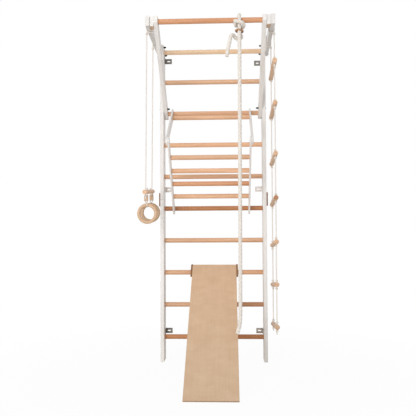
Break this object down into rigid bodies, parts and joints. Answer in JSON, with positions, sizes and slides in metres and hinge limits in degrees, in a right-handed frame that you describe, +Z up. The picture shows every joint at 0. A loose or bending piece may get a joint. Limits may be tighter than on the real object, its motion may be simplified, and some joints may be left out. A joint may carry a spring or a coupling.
{
  "type": "home wall bars set",
  "caption": "Wall-fixed wooden ladder frame with a pull-up bar on braced arms, climbing rope, trapeze with rings, rope ladder, hook-on ladder insert and hook-on slide board.",
  "frame": {"origin": "on the floor line at the room's wall, midway between the uprights", "axes": "+Z up, +Y into the room's wall, +X to the right of someone who faces the wall"},
  "size_m": [0.9592, 1.05, 2.4129],
  "materials": {
    "white_board": "white paint, satin",
    "white_metal": "white paint",
    "steel": "zinc plated",
    "beech_pale": "clear varnish",
    "beech": "clear varnish",
    "beech_dark": "clear varnish",
    "plywood": "clear varnish",
    "brown_plywood": "clear varnish",
    "dark_plywood": "clear varnish",
    "cotton": "twisted cotton"
  },
  "bodies": {
    "frame": {"left_upright_lower": "white_board", "left_upright_upper": "white_board", "right_upright_lower": "white_board", "right_upright_upper": "white_board", "left_splice_plate": "brown_plywood", "right_splice_plate": "brown_plywood", "left_top_bracket": "steel", "left_middle_bracket": "white_metal", "left_bottom_bracket": "steel", "right_top_bracket": "steel", "right_middle_bracket": "white_metal", "right_bottom_bracket": "steel", "rung_01": "beech_pale", "rung_02": "beech", "rung_03": "beech", "rung_04": "beech", "rung_05": "beech", "rung_06": "beech_dark", "rung_07": "beech", "rung_08": "beech", "rung_09": "beech", "rung_10": "beech_dark", "left_outer_arm": "white_board", "right_outer_arm": "white_board", "left_brace": "white_board", "right_brace": "white_board", "left_spacer": "white_board", "right_spacer": "white_board", "pull_up_bar": "beech", "climbing_rope": "cotton"},
    "ladder_insert": {"insert_left_upper_plate": "white_board", "insert_right_upper_plate": "white_board", "insert_left_lower_plate": "white_board", "insert_right_lower_plate": "white_board", "insert_rung_1": "beech", "insert_rung_2": "beech", "insert_rung_3": "beech", "insert_rung_4": "beech", "insert_rung_5": "beech"},
    "slide_board": {"slide_panel": "plywood", "slide_left_hook": "dark_plywood", "slide_right_hook": "dark_plywood"},
    "trapeze": {"trapeze_bar": "beech", "trapeze_cord_near": "cotton", "trapeze_cord_far": "cotton"},
    "near_ring": {"ring_near": "beech_pale", "ring_cord_near": "cotton", "ring_adjuster_near": "brown_plywood"},
    "far_ring": {"ring_far": "beech_pale", "ring_cord_far": "cotton", "ring_adjuster_far": "brown_plywood"},
    "rope_ladder": {"ladder_cord_near": "cotton", "ladder_cord_far": "cotton", "ladder_rung_1": "beech", "ladder_rung_2": "beech", "ladder_rung_3": "beech", "ladder_rung_4": "beech", "ladder_rung_5": "beech", "ladder_rung_6": "beech", "ladder_rung_7": "beech"}
  },
  "joints": [
    {"name": "insert_swing", "type": "hinge", "parent": "frame", "child": "ladder_insert", "pos_m": [0, -0.06, 1.8766], "axis": [-1, 0, 0], "range_deg": [0, 35]},
    {"name": "slide_tilt", "type": "hinge", "parent": "frame", "child": "slide_board", "pos_m": [0, -0.06, 0.6631], "axis": [-1, 0, 0], "range_deg": [0, 20], "deforming": ["climbing_rope"]},
    {"name": "trapeze_swing", "type": "hinge", "parent": "frame", "child": "trapeze", "pos_m": [-0.4316, -0.43, 2.332], "axis": [0, 1, 0], "range_deg": [-1, 45], "deforming": ["trapeze_cord_near", "trapeze_cord_far"]},
    {"name": "near_ring_swing", "type": "hinge", "parent": "trapeze", "child": "near_ring", "pos_m": [-0.4406, -0.5025, 1.2342], "axis": [0, 1, 0], "range_deg": [-5, 25], "deforming": ["ring_cord_near"]},
    {"name": "far_ring_swing", "type": "hinge", "parent": "trapeze", "child": "far_ring", "pos_m": [-0.4406, -0.3575, 1.2448], "axis": [0, 1, 0], "range_deg": [-5, 25], "deforming": ["ring_cord_far"]},
    {"name": "ladder_swing", "type": "hinge", "parent": "frame", "child": "rope_ladder", "pos_m": [0.4316, -0.395, 2.332], "axis": [0, -1, 0], "range_deg": [-4, 35], "deforming": ["ladder_cord_near", "ladder_cord_far"]}
  ]
}
